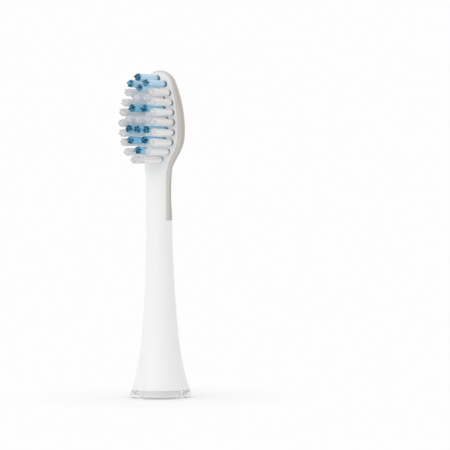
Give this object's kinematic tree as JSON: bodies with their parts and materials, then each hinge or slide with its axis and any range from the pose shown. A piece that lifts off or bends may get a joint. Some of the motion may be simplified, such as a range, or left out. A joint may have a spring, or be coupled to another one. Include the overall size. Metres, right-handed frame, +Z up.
{
  "type": "electric toothbrush head",
  "caption": "Replacement head for a sonic toothbrush: white trumpet-shaped stem on a clear ring, soft grey back with cleaning nubs, and an oval field of white and blue bristle tufts.",
  "frame": {"origin": "centre of the base, on the plane of the clear ring's foot", "axes": "+Z up the stem to the head, -Y the way the bristles point, +Y the soft back, +X to the right when the bristles face the viewer"},
  "size_m": [0.0156, 0.0186, 0.0806],
  "materials": {
    "white_plastic": "satin",
    "soft_grey": "soft matte",
    "clear_plastic": "clear, slightly frosted",
    "socket_plastic": "satin",
    "spring_steel": "rolled",
    "anchor_brass": "stamped",
    "bristle_white": "nylon",
    "bristle_blue": "nylon"
  },
  "bodies": {
    "root": {"brush_body": "white_plastic", "soft_back": "soft_grey", "base_ring": "clear_plastic", "drive_socket": "socket_plastic", "shaft_clip": "spring_steel", "tuft_anchors": "anchor_brass", "rim_tuft_01": "bristle_blue", "rim_tuft_02": "bristle_blue", "rim_tuft_03": "bristle_white", "rim_tuft_04": "bristle_white", "rim_tuft_05": "bristle_white", "rim_tuft_06": "bristle_white", "rim_tuft_07": "bristle_white", "rim_tuft_08": "bristle_white", "rim_tuft_09": "bristle_white", "rim_tuft_10": "bristle_white", "rim_tuft_11": "bristle_white", "rim_tuft_12": "bristle_white", "rim_tuft_13": "bristle_white", "rim_tuft_14": "bristle_white", "rim_tuft_15": "bristle_white", "rim_tuft_16": "bristle_white", "rim_tuft_17": "bristle_white", "rim_tuft_18": "bristle_white", "rim_tuft_19": "bristle_blue", "inner_tuft_01": "bristle_blue", "inner_tuft_02": "bristle_white", "inner_tuft_03": "bristle_white", "inner_tuft_04": "bristle_blue", "inner_tuft_05": "bristle_blue", "inner_tuft_06": "bristle_white", "inner_tuft_07": "bristle_white", "inner_tuft_08": "bristle_white", "inner_tuft_09": "bristle_blue", "inner_tuft_10": "bristle_blue", "inner_tuft_11": "bristle_blue", "inner_tuft_12": "bristle_blue", "inner_tuft_13": "bristle_blue", "inner_tuft_14": "bristle_blue"}
  },
  "joints": []
}
